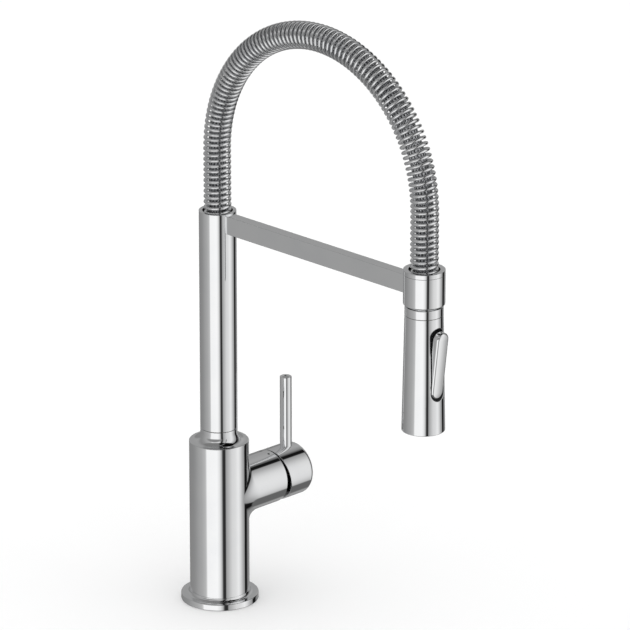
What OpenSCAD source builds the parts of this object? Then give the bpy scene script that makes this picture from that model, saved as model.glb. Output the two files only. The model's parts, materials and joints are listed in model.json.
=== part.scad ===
// Pull-down kitchen mixer tap: one-hole deck mixer with a side lever, a swivelling
// column, a sprung hose arch and a spray head parked in a ring on a support arm.
// Origin: centre of the foot on the deck. +Z up, the spout reaches to -Y, the lever
// stub points to +X.

/* [Body] */
// Diameter of the vertical body
body_d = 48; // [40:0.5:58]
// Height of the body's flat top above the deck
body_h = 136; // [126:1:170]
// Height of the neck above the body's flat top
neck_h = 10.7; // [8:0.1:14]
// Radius of the hollow curve between the flat top and the neck
neck_curve = 7; // [3:0.5:8]
// How far the foot plate stands out all round the body
flange_lip = 7.3; // [5:0.1:10]
// Height of the foot plate
flange_h = 5.1; // [4:0.1:9]
// Height and width of the hollow curve between the foot plate and the body
cove = 2.8; // [1:0.1:3.5]
// Rounding of the foot plate's upper edge
flange_round = 0.8; // [0.4:0.1:2]

/* [Supply connections] */
// Hole for the inlet hoses, the tapping size of an M10x1 thread
inlet_d = 9; // [7:0.5:10]
// Hole for the fixing stud, the tapping size of an M8 thread
stud_d = 6.8; // [5:0.1:8.5]
// Depth of the stud's thread
stud_depth = 18; // [12:1:24]
// Depth of the inlet threads
inlet_depth = 12; // [8:1:16]
// Diameter of the water channels in the body
channel_d = 6; // [4:0.5:7]

/* [Lever stub and cartridge] */
// Height of the stub's axis above the deck
stub_z = 89.5; // [78:0.5:100]
// How much smaller the stub's radius is than the body's
stub_step = 2.25; // [1.5:0.25:5]
// Distance from the body's axis to the stub's end
stub_reach = 56; // [50:0.5:68]
// Wall between the stub's outside and the cartridge
stub_wall = 4.15; // [3:0.05:5.5]
// Length of the cartridge housing
cartridge_l = 20; // [18:0.5:22]
// Thickness of each ceramic disc
disc_t = 3; // [2:0.25:3.5]

/* [Handle] */
// Length of the handle cap, from the top of its gap to its end
cap_l = 29.6; // [26:0.1:36]
// Wall of the handle cap's skirt
cap_wall = 1.3; // [1:0.1:1.6]
// Rounding of the cap's end
cap_round = 4; // [1:0.5:7]
// Gap between the stub and the cap at the top
cap_gap_top = 1; // [0.8:0.1:2]
// Gap between the stub and the cap at the bottom, which lets the cap tilt
cap_gap_bottom = 7.4; // [7:0.1:9]
// Diameter of the lever pin
pin_d = 9.6; // [7:0.1:12]
// Height of the lever pin's top above the stub's axis
pin_h = 81; // [60:1:110]
// Distance from the cap's end to the lever pin's axis
pin_inset = 11.7; // [9:0.1:14]

/* [Column] */
// Diameter of the column tube
column_d = 29.8; // [27:0.2:36]
// Wall of the column tube
column_wall = 2.85; // [2.6:0.05:3.5]
// Height of the column's open top above the deck
column_top = 329.8; // [280:1:420]
// Diameter of the bore in the neck that the column's foot turns in
socket_d = 26; // [24:0.2:27]

/* [Arm and docking ring] */
// Distance from the column's axis to the spray head's axis
reach = 227.7; // [180:1:280]
// Width of the support arm
arm_w = 9.7; // [7:0.1:12]
// Height of the support arm
arm_h = 14.9; // [12:0.1:16.5]
// Height from the arm's top edge up to the column's top
arm_drop = 1.1; // [0.5:0.1:6]
// Outer diameter of the docking ring
ring_d = 32.5; // [30.5:0.1:39]
// Overall height of the docking ring
ring_h = 28.2; // [24:0.1:34]
// How far the docking ring stands up above the arm's top edge
ring_rise = 7.6; // [5:0.1:10]
// Height of the ring's separate cap
ring_cap_h = 3.7; // [2:0.1:5]

/* [Spring and hose] */
// Outside diameter of the spring
spring_d = 22.1; // [18.5:0.1:23.3]
// Diameter of the spring wire
wire_d = 2.6; // [2:0.1:2.8]
// Distance between the spring's turns
spring_pitch = 4.4; // [3.6:0.1:6]
// Height of the centre of the spring's arch above the column's top
arch_rise = 51.7; // [40:0.5:80]
// Space between the inner hose and the inside of the spring
hose_gap = 1.7; // [1.6:0.1:2.5]
// Wall of the inner hose
hose_wall = 2.25; // [1.5:0.05:2.6]

/* [Spray head] */
// Diameter of the head at its collar
head_top_d = 30; // [28.6:0.1:37]
// Diameter of the head at its open end
head_end_d = 33.8; // [32:0.1:42]
// Height of the head's collar
collar_h = 7; // [5:0.1:9]
// Length of the head's shell
shell_l = 93.7; // [88:0.1:115]
// Wall of the head's shell
shell_wall = 1.6; // [1.2:0.1:2]
// Gap between the docked head and the ring
dock_gap = 1.2; // [0.4:0.1:2]
// Width of the opening for the toggle
opening_w = 14.2; // [12:0.1:15]
// Height of the opening for the toggle
opening_h = 59.3; // [54:0.1:60]
// Distance from the shell's top edge to the top of the opening
opening_drop = 7.6; // [6:0.1:12]
// Space between the toggle and its surround at each side
toggle_gap = 0.35; // [0.3:0.05:1]
// Space between the toggle and its surround at each end
toggle_end_gap = 1.1; // [1:0.1:4]
// Thickness of the toggle
toggle_t = 6; // [2.5:0.1:6.5]
// How far the toggle's face stands out of the shell at its middle
toggle_proud = 3; // [1:0.1:4]
// Lean of the toggle at rest, its top end outwards
toggle_lean = 7; // [3:0.1:7.2]
// Number of spray nozzles in the inner circle
nozzle_count = 12; // [8:1:14]

/* [Fits] */
// Radial play of a running fit
running = 0.06; // [0.03:0.01:0.1]
// Radial play between fixed pieces that slip together
slip = 0.1; // [0.05:0.01:0.15]
// Space between pieces that pass each other
pass = 0.3; // [0.25:0.05:0.4]

/* [Hidden] */
$fn = 96;

chrome = [0.82, 0.83, 0.84];
brass = [0.78, 0.66, 0.36];
steel = [0.66, 0.67, 0.68];
rubber = [0.12, 0.12, 0.12];
plastic = [0.2, 0.21, 0.22];
white_plastic = [0.9, 0.9, 0.88];
ceramic = [0.93, 0.92, 0.9];

// body and foot
body_r = body_d / 2;
flange_r = body_r + flange_lip;
foot_z = flange_h + cove;
spigot_r = body_r - 3;
gasket_t = 1.6;
gasket_w = 2.6;
gasket_r = body_r + flange_lip / 2;
neck_top = body_h + neck_h;
inlet_ring = spigot_r - inlet_d / 2 - 2.5;
inlet_angle = 50;

// column foot and its socket
column_r = column_d / 2;
column_bore = column_r - column_wall;
socket_r = socket_d / 2;
socket_z = neck_top - 38;
bush_wall = 1.9;
bush_h = 6;
journal_r = socket_r - slip / 2 - bush_wall;
foot_bore = 6;
seal_t = 1.55;
seal_r = socket_r - pass - seal_t;
seal_groove = seal_r - seal_t;
lower_seal_z = socket_z + 11.8;
screw_z = socket_z + 19;
upper_seal_z = socket_z + 26.2;
swivel_screw_r = 2.4;
swivel_groove_r = journal_r - 2;

// stub frame: distances u run along +X from the body's axis
stub_r = body_r - stub_step;
cart_bore = stub_r - stub_wall;
cart_r = cart_bore - slip;
nut_bore = cart_bore + 1.2;
nut_l = 8;
nut_end = stub_reach - 3;
cart_end = nut_end - nut_l;
cart_start = cart_end - cartridge_l;
seat_u = cart_start - 1;
cart_floor = 3;
cart_inner = cart_r - 2;
cart_lip = 2.6;
hub_r = cart_inner - 2.8;
disc_u = cart_start + cart_floor;
port_r = cart_inner - 6.6;
pivot_u = stub_reach - 10;
stem_arm = 8.2;
dome_r = norm([cap_gap_top + stub_reach - pivot_u, stub_r - cap_wall - slip]) - 0.5;
dome_t = 1.2;
dome_open_r = 15 / 21.75 * stub_r;

// handle cap
cap_r = stub_r - 0.15;
cap_start = stub_reach + cap_gap_top;
cap_end = cap_start + cap_l;
cap_slant = atan((cap_gap_bottom - cap_gap_top) / (2 * cap_r));
cap_inner = cap_r - cap_wall;
cap_floor = pivot_u + dome_r;
boss_r = 7;
boss_start = pivot_u + 15;
stem_w = 6;
stem_end = cap_floor + 7.5;
pin_r = pin_d / 2;
pin_u = cap_end - pin_inset;
pin_seat = 6;
lever_screw_u = cap_floor + 4;

// arm, ring and their screws
arm_top = column_top - arm_drop;
arm_bottom = arm_top - arm_h;
arm_edge = 0.8;
ring_r = ring_d / 2;
ring_top = arm_top + ring_rise;
ring_bottom = ring_top - ring_h;
ring_round = 1.2;
ring_seam = ring_top - ring_cap_h;
arm_screw_r = 1.6;
arm_screw_l = 9;
arm_screw_head = 3;
arm_screw_gap = arm_h / 4;

// spring and hose
spring_r = spring_d / 2;
coil_r = spring_r - wire_d / 2;
arch_r = reach / 2;
arch_z = column_top + arch_rise;
seat_top = column_top - 26;
spring_start = seat_top + wire_d / 2 + 0.3;
hose_r = spring_r - wire_d - hose_gap;
hose_bore = 2 * (hose_r - hose_wall);
barb_r = hose_bore / 2 - slip;
spring_passage = spring_r + 1.2;

// spray head, from the top down
collar_r = head_top_d / 2;
end_r = head_end_d / 2;
collar_top = ring_bottom - dock_gap;
collar_bottom = collar_top - collar_h;
shell_top = collar_bottom - pass;
shell_bottom = shell_top - shell_l;
cup_r = spring_r + 0.7;
liner_upper = cup_r + 0.25;
liner_lower = liner_upper + 0.6;
liner_r = liner_lower + 0.8;
dock_h = 6.7;
dock_r = liner_lower - pass;
nut_r = 10.5;
nut_top = collar_top + 5.7;
nut_bottom = nut_top - 19.5;
fitting_r = 8.2;
flange_top = nut_top - 3.3;
fitting_flange = 5.7;
washer_t = 2.2;
spigot_top = flange_top - fitting_flange - pass - washer_t;
ferrule_r = coil_r - wire_d / 2 - 0.9;
ferrule_start = nut_top + 3;
ferrule_l = 20;
cup_start = ferrule_start + 0.3;
cup_floor = 2.7;
spring_stop = cup_start + cup_floor + wire_d / 2 + 0.3;
core_r = end_r - 4.7;
core_top = nut_bottom - 1;
core_bottom = shell_bottom + 8.4;
valve_r = 5.2;

// toggle in its opening
opening_top = shell_top - opening_drop;
toggle_z = opening_top - opening_h / 2;
surround_wall = 0.5;
surround_floor = 1.2;
surround_gap = 0.05;
toggle_w = opening_w - 2 * (surround_gap + surround_wall + toggle_gap);
toggle_l = opening_h - 2 * (surround_gap + surround_wall + toggle_end_gap);
toggle_face = shell_r(toggle_z) + toggle_proud;
toggle_setback = 1.6;
toggle_axle = toggle_face - toggle_t - toggle_setback;
toggle_boss_r = 2.3;
floor_gap = 3 * pass;
toggle_pin_r = 1.2;
floor_face = toggle_axle - toggle_boss_r - floor_gap;
core_flat = floor_face - surround_floor - slip;
peg_rise = 13;
peg_r = 1.1;
peg_tip = floor_face - 0.5;
spool_z = toggle_z + peg_rise;
spool_r = 2.5;
spool_back = 4.5;

// water outlet
plate_r = end_r - shell_wall - 2;
plate_z = shell_bottom + 1;
plate_t = 3;
rim_wall = 0.9;
aerator_r = 6.9;
nozzle_r = 0.8;

// radius of the head's shell at a height
function shell_r(z) = collar_r + (end_r - collar_r) * (shell_top - z) / shell_l;

// ---- shared shapes ----

module tube(r_out, r_in, z0, z1) {
    difference() {
        translate([0, 0, z0]) cylinder(r = r_out, h = z1 - z0);
        translate([0, 0, z0 - 1]) cylinder(r = r_in, h = z1 - z0 + 2);
    }
}

module torus(r, t, z) {
    translate([0, 0, z]) rotate_extrude() translate([r, 0]) circle(r = t, $fn = 32);
}

// the stub's frame: its z runs out along +X, its x points up
module on_stub() {
    translate([0, 0, stub_z]) rotate([0, 90, 0]) rotate([0, 0, 180]) children();
}

module on_head() {
    translate([0, -reach, 0]) children();
}

// a rod across the head, along -Y from one distance in front of its axis to another
module forward_rod(r, from, to, z) {
    translate([0, -from, z]) rotate([90, 0, 0]) cylinder(r = r, h = to - from);
}

module stadium(w, h) {
    for (side = [-1, 1]) translate([0, side * (h - w) / 2]) circle(d = w);
    square([w, h - w], center = true);
}

module rounded_rectangle(w, h, r) {
    square([w - 2 * r, h], center = true);
    square([w, h - 2 * r], center = true);
    for (x = [-1, 1], y = [-1, 1]) translate([x * (w / 2 - r), y * (h / 2 - r)]) circle(r = r, $fn = 32);
}

// a wire swept round a path: centre, out and side are functions' lists for each step
module swept_wire(centres, outs, sides, r, facets) {
    steps = len(centres);
    points = [
        for (i = [0 : steps - 1], k = [0 : facets - 1])
            centres[i] + r * (cos(360 * k / facets) * outs[i] + sin(360 * k / facets) * sides[i])
    ];
    walls = [
        for (i = [0 : steps - 2], k = [0 : facets - 1])
            let (a = i * facets + k, b = i * facets + (k + 1) % facets)
            each [[a, b, a + facets], [b, b + facets, a + facets]]
    ];
    start_cap = [for (k = [1 : facets - 2]) [0, k + 1, k]];
    last = (steps - 1) * facets;
    end_cap = [for (k = [1 : facets - 2]) [last, last + k, last + k + 1]];
    polyhedron(points = points, faces = concat(walls, start_cap, end_cap), convexity = 10);
}

// ---- foot ----

module base_gasket() {
    color(rubber) tube(gasket_r + gasket_w / 2, gasket_r - gasket_w / 2, 0, gasket_t);
}

module base_flange() {
    color(chrome) difference() {
        rotate_extrude() difference() {
            union() {
                square([flange_r - flange_round, flange_h]);
                square([flange_r, flange_h - flange_round]);
                translate([flange_r - flange_round, flange_h - flange_round]) circle(r = flange_round);
                square([body_r + cove, foot_z]);
            }
            translate([body_r + cove, foot_z]) circle(r = cove);
        }
        translate([0, 0, -1]) cylinder(r = spigot_r + slip, h = foot_z + 2);
        difference() {
            translate([0, 0, -1]) cylinder(r = gasket_r + gasket_w / 2 + slip, h = gasket_t + 1);
            translate([0, 0, -2]) cylinder(r = gasket_r - gasket_w / 2 - slip, h = gasket_t + 4);
        }
    }
}

// ---- body ----

module neck_profile() {
    difference() {
        square([column_r + neck_curve, neck_h]);
        translate([column_r + neck_curve, neck_curve]) circle(r = neck_curve);
        translate([column_r, neck_curve]) square([neck_curve + 1, neck_h]);
    }
}

module mixer_body() {
    side_y = inlet_ring * sin(inlet_angle);
    side_x = inlet_ring * cos(inlet_angle);
    color(chrome) difference() {
        union() {
            cylinder(r = spigot_r, h = foot_z + 1);
            translate([0, 0, foot_z]) cylinder(r = body_r, h = body_h - foot_z);
            translate([0, 0, body_h]) rotate_extrude() neck_profile();
            on_stub() cylinder(r = stub_r, h = stub_reach);
        }
        // socket of the column's foot
        translate([0, 0, socket_z]) cylinder(r = socket_r, h = neck_top);
        // cartridge chamber and its thread
        on_stub() translate([0, 0, seat_u]) cylinder(r = cart_bore, h = stub_reach);
        on_stub() translate([0, 0, cart_end]) cylinder(r = nut_bore, h = stub_reach);
        // inlets, with a channel up and across to the cartridge
        for (side = [-1, 1]) {
            translate([side_x, side * side_y, -1]) cylinder(d = inlet_d, h = inlet_depth + 1);
            translate([side_x, side * side_y, 0]) cylinder(d = channel_d, h = stub_z - port_r / 2);
            translate([side_x, side * port_r * 0.87, stub_z - port_r / 2])
                rotate([0, 90, 0]) cylinder(d = channel_d, h = seat_u);
        }
        // mixed water, across from the cartridge and up to the socket
        translate([0, 0, stub_z + port_r]) rotate([0, 90, 0]) cylinder(d = channel_d, h = seat_u + 1);
        translate([0, 0, stub_z + port_r - channel_d / 2]) cylinder(d = channel_d, h = neck_top);
        // fixing stud
        translate([-inlet_ring, 0, -1]) cylinder(d = stud_d, h = stud_depth + 1);
        // screw that keeps the column in its socket
        translate([0, socket_r - 2, screw_z]) rotate([-90, 0, 0])
            cylinder(r = swivel_screw_r + slip, h = body_r);
        // seats of the two marks
        temperature_mark_pair(1.05, 1);
    }
}

module temperature_mark_pair(r, depth) {
    for (side = [-1, 1])
        on_stub() translate([0, 0, stub_reach - 5]) rotate([0, 0, 12 * side])
            translate([stub_r - depth, 0, 0]) rotate([0, 90, 0]) cylinder(r = r, h = depth + 0.06);
}

module temperature_marks() {
    color(rubber) temperature_mark_pair(1, 0.95);
}

module swivel_bushes() {
    color(white_plastic) for (z = [socket_z + 1.5, neck_top - bush_h - 1])
        tube(socket_r - slip / 2, journal_r + running, z, z + bush_h);
}

module swivel_screw() {
    color(steel) translate([0, 0, screw_z]) rotate([-90, 0, 0]) difference() {
        union() {
            translate([0, 0, swivel_groove_r + pass]) cylinder(r = 1.8, h = 4);
            translate([0, 0, socket_r]) cylinder(r = swivel_screw_r, h = body_r - socket_r - 1.5);
        }
        translate([0, 0, body_r - 4.5]) cylinder(r = 1.4, h = 5, $fn = 6);
    }
}

// ---- cartridge ----

// three round ports, two for the inlets and one for the mixed water
module ports(r, z0, z1) {
    for (a = [0, 120, 240]) rotate([0, 0, a]) translate([port_r, 0, z0]) cylinder(r = r, h = z1 - z0);
}

module cartridge_housing() {
    color(plastic) on_stub() difference() {
        translate([0, 0, cart_start]) cylinder(r = cart_r, h = cartridge_l);
        translate([0, 0, disc_u]) cylinder(r = cart_inner, h = cartridge_l - cart_floor - cart_lip);
        translate([0, 0, disc_u]) cylinder(r = hub_r + running, h = cartridge_l);
        ports(2.6, cart_start - 1, disc_u + 1);
    }
}

module cartridge_seals() {
    color(rubber) on_stub() for (a = [0, 120, 240]) rotate([0, 0, a]) translate([port_r, 0, 0])
        tube(3.6, 2.8, seat_u, cart_start);
}

module fixed_disc() {
    color(ceramic) on_stub() difference() {
        translate([0, 0, disc_u]) cylinder(r = cart_inner - slip, h = disc_t);
        ports(2.4, disc_u - 1, disc_u + disc_t + 1);
    }
}

module moving_disc() {
    u = disc_u + disc_t + 0.05;
    color(ceramic) on_stub() difference() {
        translate([0, 0, u]) cylinder(r = hub_r, h = disc_t);
        translate([0, 0, u - 1]) cylinder(r = hub_r - 3.5, h = disc_t / 2 + 1);
    }
}

module disc_carrier() {
    u = disc_u + 2 * disc_t + 0.05;
    color(white_plastic) on_stub() difference() {
        translate([0, 0, u]) cylinder(r = hub_r, h = pivot_u - stem_arm + 1.2 - u);
        translate([0, 0, u + 1.2]) cylinder(r = 2.4 + running, h = 6);
    }
}

module temperature_rotor() {
    start = cart_end - cart_lip - 3.2;
    color(white_plastic) on_stub() difference() {
        union() {
            translate([0, 0, start]) cylinder(r = cart_inner - running, h = 3.1);
            translate([0, 0, start + 1]) cylinder(r = hub_r, h = cart_end + 4.5 - start - 1);
        }
        translate([0, 0, start + 10]) cube([11, stem_w + 0.4, 40], center = true);
        translate([0, 0, pivot_u]) rotate([90, 0, 0]) cylinder(r = 1.5, h = 60, center = true);
    }
}

module stem_pin() {
    color(steel) on_stub() translate([0, 0, pivot_u]) rotate([90, 0, 0])
        cylinder(r = 1.5, h = 2 * hub_r - 4, center = true);
}

module cartridge_stem() {
    color(brass) on_stub() difference() {
        union() {
            translate([0, 0, pivot_u - stem_arm]) sphere(r = 2.4);
            translate([0, 0, pivot_u - stem_arm]) cylinder(r = 1.7, h = stem_arm - 3);
            translate([0, 0, pivot_u]) rotate([90, 0, 0]) cylinder(r = 3.4, h = stem_w, center = true);
            translate([-stem_w / 2, -stem_w / 2, pivot_u]) cube([stem_w, stem_w, stem_end - pivot_u]);
        }
        translate([0, 0, pivot_u]) rotate([90, 0, 0])
            cylinder(r = 1.5 + running, h = 2 * stem_w, center = true);
    }
}

module cartridge_nut_notches() {
    for (a = [45 : 90 : 315]) rotate([0, 0, a]) translate([nut_bore - 2.2, 0, nut_end])
        cube([4, 4, 5], center = true);
}

module retaining_nut() {
    color(brass) on_stub() difference() {
        tube(nut_bore - slip, hub_r + 1, cart_end, nut_end);
        cartridge_nut_notches();
    }
}

// the dark ring under the cap's rim, round like the cap's swing
module dome_ring() {
    seat = nut_end + 0.2;
    color(plastic) on_stub() difference() {
        union() {
            translate([0, 0, pivot_u]) sphere(r = dome_r);
            translate([0, 0, seat]) cylinder(r = nut_bore - slip, h = 4);
        }
        translate([0, 0, pivot_u]) sphere(r = dome_r - dome_t);
        translate([0, 0, pivot_u]) cylinder(r = dome_open_r, h = dome_r + 1);
        cylinder(r = dome_r + 1, h = seat);
        difference() {
            cylinder(r = dome_r + 1, h = stub_reach + 0.02);
            cylinder(r = nut_bore - slip, h = stub_reach + 1);
        }
        translate([0, 0, nut_end]) cylinder(r = nut_bore - slip - dome_t, h = 3 + 0.5);
    }
}

// ---- handle ----

module handle_cap() {
    color(chrome) difference() {
        on_stub() rotate_extrude() {
            translate([0, stub_reach - 5]) square([cap_r, cap_end - cap_round - stub_reach + 5]);
            translate([0, stub_reach]) square([cap_r - cap_round, cap_end - stub_reach]);
            translate([cap_r - cap_round, cap_end - cap_round]) circle(r = cap_round);
        }
        // the hollow that passes over the dome, round the boss for the stem
        on_stub() difference() {
            cylinder(r = cap_inner, h = cap_floor);
            translate([0, 0, boss_start]) cylinder(r = boss_r, h = cap_floor);
        }
        on_stub() translate([0, 0, stem_end / 2 + slip])
            cube([stem_w + 2 * slip, stem_w + 2 * slip, stem_end], center = true);
        // slanting rim: near the stub at the top, away from it at the bottom
        on_stub() translate([cap_r, 0, cap_start]) rotate([0, cap_slant, 0])
            translate([-3 * cap_r, -2 * cap_r, -60]) cube([4 * cap_r, 4 * cap_r, 60]);
        // seat of the lever pin
        translate([pin_u, 0, stub_z + pin_seat]) cylinder(r = pin_r + 0.02, h = cap_r);
        // way in for the screw that holds the stem
        translate([lever_screw_u, 0, stub_z - 2 * cap_r]) cylinder(r = 2, h = 2 * cap_r - stem_w / 2);
    }
}

module lever_pin() {
    top = stub_z + pin_h;
    color(chrome) translate([pin_u, 0, 0]) rotate_extrude() difference() {
        translate([0, stub_z + pin_seat]) square([pin_r, top - stub_z - pin_seat]);
        translate([pin_r, top]) rotate(45) square(0.9, center = true);
    }
}

module lever_screw() {
    color(steel) translate([lever_screw_u, 0, stub_z - stem_w / 2 - 5]) difference() {
        cylinder(r = 1.95, h = 5);
        translate([0, 0, -1]) cylinder(r = 1.1, h = 3, $fn = 6);
    }
}

// ---- column ----

module column_foot() {
    head_top = neck_top + 22;
    color(brass) difference() {
        union() {
            translate([0, 0, socket_z + 0.8]) cylinder(r = journal_r, h = neck_top - socket_z);
            translate([0, 0, neck_top + pass])
                cylinder(r = column_bore - slip / 2, h = head_top - neck_top);
        }
        translate([0, 0, socket_z]) cylinder(r = foot_bore, h = head_top);
        for (z = [lower_seal_z, upper_seal_z]) tube(journal_r + 1, seal_groove, z - 1.8, z + 1.8);
        tube(journal_r + 1, swivel_groove_r, screw_z - 2.6, screw_z + 2.6);
    }
}

module column_seals() {
    color(rubber) for (z = [lower_seal_z, upper_seal_z]) torus(seal_r, seal_t, z);
}

// the four holes' places are shared by the screws, the tube, the arm and the ring
module arm_screw_places() {
    for (rise = [-1, 1]) translate([0, 0, arm_bottom + arm_h / 2 + rise * arm_screw_gap]) {
        translate([0, -column_bore, 0]) rotate([90, 0, 0]) children();
        translate([0, -reach + liner_r, 0]) rotate([-90, 0, 0]) children();
    }
}

module arm_screw(play) {
    cylinder(r = arm_screw_r + play, h = arm_screw_l);
    translate([0, 0, -0.5]) cylinder(r = arm_screw_head + play, h = 0.9);
    translate([0, 0, 0.4]) cylinder(r1 = arm_screw_head + play, r2 = arm_screw_r + play, h = 1.4);
}

module arm_screws() {
    color(steel) difference() {
        arm_screw_places() arm_screw(0);
        on_head() translate([0, 0, ring_bottom]) cylinder(r = liner_r + 0.05, h = ring_h);
        translate([0, 0, arm_bottom - 5]) cylinder(r = column_bore + 0.05, h = 40);
    }
}

module column_tube() {
    color(chrome) difference() {
        tube(column_r, column_bore, neck_top + pass, column_top);
        arm_screw_places() arm_screw(0.02);
    }
}

module riser_tube() {
    color(steel) tube(foot_bore - 0.05, foot_bore - 1, neck_top + 14, seat_top - 12);
}

module hose_connector() {
    color(brass) difference() {
        union() {
            translate([0, 0, seat_top - 16]) cylinder(r = 8.6, h = 10.5);
            translate([0, 0, seat_top - 5.5]) cylinder(r = 10.2, h = 5, $fn = 6);
            translate([0, 0, seat_top - 1]) cylinder(r = barb_r, h = 15);
        }
        translate([0, 0, seat_top - 17]) cylinder(r = barb_r - 1.2, h = 40);
        translate([0, 0, seat_top - 17]) cylinder(r = foot_bore, h = 8);
    }
}

module spring_seat() {
    color(brass) difference() {
        tube(column_bore - 0.05, 8.65, seat_top - 9, seat_top);
        translate([0, 0, seat_top - 5.5]) cylinder(r = 10.25, h = 6, $fn = 6);
    }
}

// ---- arm and ring ----

module support_arm() {
    color(chrome) difference() {
        translate([0, 0, arm_bottom + arm_h / 2]) rotate([90, 0, 0])
            linear_extrude(reach) rounded_rectangle(arm_w, arm_h, arm_edge);
        translate([0, 0, arm_bottom - 1]) cylinder(r = column_r + 0.02, h = arm_h + 2);
        on_head() translate([0, 0, arm_bottom - 1]) cylinder(r = ring_r + 0.02, h = arm_h + 2);
        arm_screw_places() arm_screw(0.02);
    }
}

module docking_ring() {
    color(chrome) difference() {
        on_head() rotate_extrude() {
            translate([liner_r + 0.02, ring_bottom + ring_round])
                square([ring_r - liner_r - 0.02, ring_seam - ring_bottom - ring_round]);
            translate([liner_r + 0.02, ring_bottom])
                square([ring_r - liner_r - 0.02 - ring_round, ring_h / 2]);
            translate([ring_r - ring_round, ring_bottom + ring_round]) circle(r = ring_round);
        }
        arm_screw_places() arm_screw(0.02);
    }
}

module ring_cap() {
    edge = 0.3;
    color(chrome) on_head() rotate_extrude() difference() {
        translate([spring_passage, ring_seam + 0.12]) square([ring_r - spring_passage, ring_cap_h - 0.12]);
        translate([ring_r, ring_top]) rotate(45) square(edge * 1.41, center = true);
        translate([ring_r, ring_seam + 0.12]) rotate(45) square(0.3, center = true);
    }
}

module ring_liner() {
    step_z = collar_top + dock_h + 2.5;
    color(plastic) on_head() difference() {
        tube(liner_r, liner_upper, ring_bottom + 0.4, ring_seam);
        translate([0, 0, ring_bottom - 1]) cylinder(r = liner_lower, h = step_z - ring_bottom + 1);
    }
}

// ---- spring and hose ----

leg_in = arch_z - spring_start;
leg_out = arch_z - spring_stop;
arch_l = PI * arch_r;
path_l = leg_in + arch_l + leg_out;
turns = path_l / spring_pitch;

// a place on the hose's centre line, at a distance from the spring's lower end
function path_point(s) =
    s < leg_in ? [0, 0, spring_start + s]
    : s > leg_in + arch_l ? [0, -reach, arch_z - (s - leg_in - arch_l)]
    : let (a = (s - leg_in) / arch_r * 180 / PI) [0, -arch_r + arch_r * cos(a), arch_z + arch_r * sin(a)];

// the direction away from the arch's centre there, square to the centre line
function path_out(s) =
    s < leg_in ? [0, 1, 0]
    : s > leg_in + arch_l ? [0, -1, 0]
    : let (a = (s - leg_in) / arch_r * 180 / PI) [0, cos(a), sin(a)];

function path_along(s) = cross([1, 0, 0], path_out(s));

// a helix: its radial direction, its place, and the direction beside the wire
function coil_out(s, angle) = cos(angle) * path_out(s) - sin(angle) * [1, 0, 0];

module coiled_spring(points_a_turn, facets) {
    steps = ceil(turns * points_a_turn);
    run = [for (i = [0 : steps]) path_l * i / steps];
    angles = [for (s = run) 360 * turns * s / path_l];
    outs = [for (i = [0 : steps]) coil_out(run[i], angles[i])];
    centres = [for (i = [0 : steps]) path_point(run[i]) + coil_r * outs[i]];
    sides = [for (s = run) path_along(s)];
    swept_wire(centres, outs, sides, wire_d / 2, facets);
}

module spring() {
    color(chrome) coiled_spring(8, 4);
}

module inner_hose() {
    foot_z0 = spring_start + 1;
    end_z0 = ferrule_start + 1;
    color(steel) {
        tube(hose_r, hose_bore / 2, foot_z0, arch_z);
        translate([0, -arch_r, arch_z]) rotate([90, 0, 90]) rotate_extrude(angle = 180)
            translate([arch_r, 0]) difference() {
                circle(r = hose_r);
                circle(r = hose_bore / 2);
            }
        on_head() tube(hose_r, hose_bore / 2, end_z0, arch_z);
    }
}

// ---- end of the hose ----

module spring_cup() {
    color(chrome) on_head() difference() {
        translate([0, 0, cup_start]) cylinder(r = cup_r, h = 9);
        translate([0, 0, cup_start + cup_floor]) cylinder(r = spring_r + 0.15, h = 9);
        translate([0, 0, cup_start - 1]) cylinder(r = ferrule_r + slip, h = 12);
    }
}

module hose_ferrule() {
    color(steel) on_head() tube(ferrule_r, hose_r + slip, ferrule_start, ferrule_start + ferrule_l);
}

module hose_fitting() {
    color(brass) on_head() difference() {
        union() {
            translate([0, 0, flange_top - fitting_flange]) cylinder(r = fitting_r, h = fitting_flange);
            translate([0, 0, flange_top - 1]) cylinder(r = 6.2, h = ferrule_start - flange_top + 1);
            translate([0, 0, ferrule_start - 1]) cylinder(r = barb_r, h = ferrule_l - 1);
        }
        translate([0, 0, flange_top - fitting_flange - 1]) cylinder(r = barb_r - 1.2, h = 60);
    }
}

// ---- spray head ----

module head_collar() {
    color(chrome) on_head() difference() {
        rotate_extrude() {
            translate([0, collar_bottom]) square([collar_r, collar_h - 0.6]);
            translate([0, collar_bottom]) square([collar_r - 0.6, collar_h]);
            translate([collar_r - 0.6, collar_top - 0.6]) circle(r = 0.6, $fn = 32);
            polygon([
                [0, collar_top - 1],
                [dock_r, collar_top - 1],
                [dock_r - 0.3, collar_top + dock_h],
                [0, collar_top + dock_h]
            ]);
        }
        translate([0, 0, collar_bottom - 1]) cylinder(r = nut_r + slip, h = 30);
    }
}

module hose_nut() {
    color(brass) on_head() difference() {
        translate([0, 0, nut_bottom]) cylinder(r = nut_r, h = nut_top - nut_bottom);
        translate([0, 0, nut_bottom - 1])
            cylinder(r = fitting_r + running, h = flange_top + pass - nut_bottom + 1);
        translate([0, 0, nut_bottom]) cylinder(r = 6.2 + pass, h = 40);
    }
}

module hose_washer() {
    color(rubber) on_head() tube(fitting_r - 0.2, 5, spigot_top, spigot_top + washer_t);
}

module check_valve() {
    top = spigot_top - 2.5;
    color(white_plastic) on_head() difference() {
        translate([0, 0, top - 13]) cylinder(r = valve_r - slip, h = 13);
        tube(valve_r + 1, valve_r - 0.9, top - 8, top - 6.4);
        for (a = [0 : 60 : 300]) rotate([0, 0, a]) translate([3, 0, top - 14]) cylinder(r = 1, h = 20);
    }
}

module opening_cut(w, h, from, to) {
    translate([0, -from, toggle_z]) rotate([90, 0, 0]) linear_extrude(to - from) stadium(w, h);
}

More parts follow.
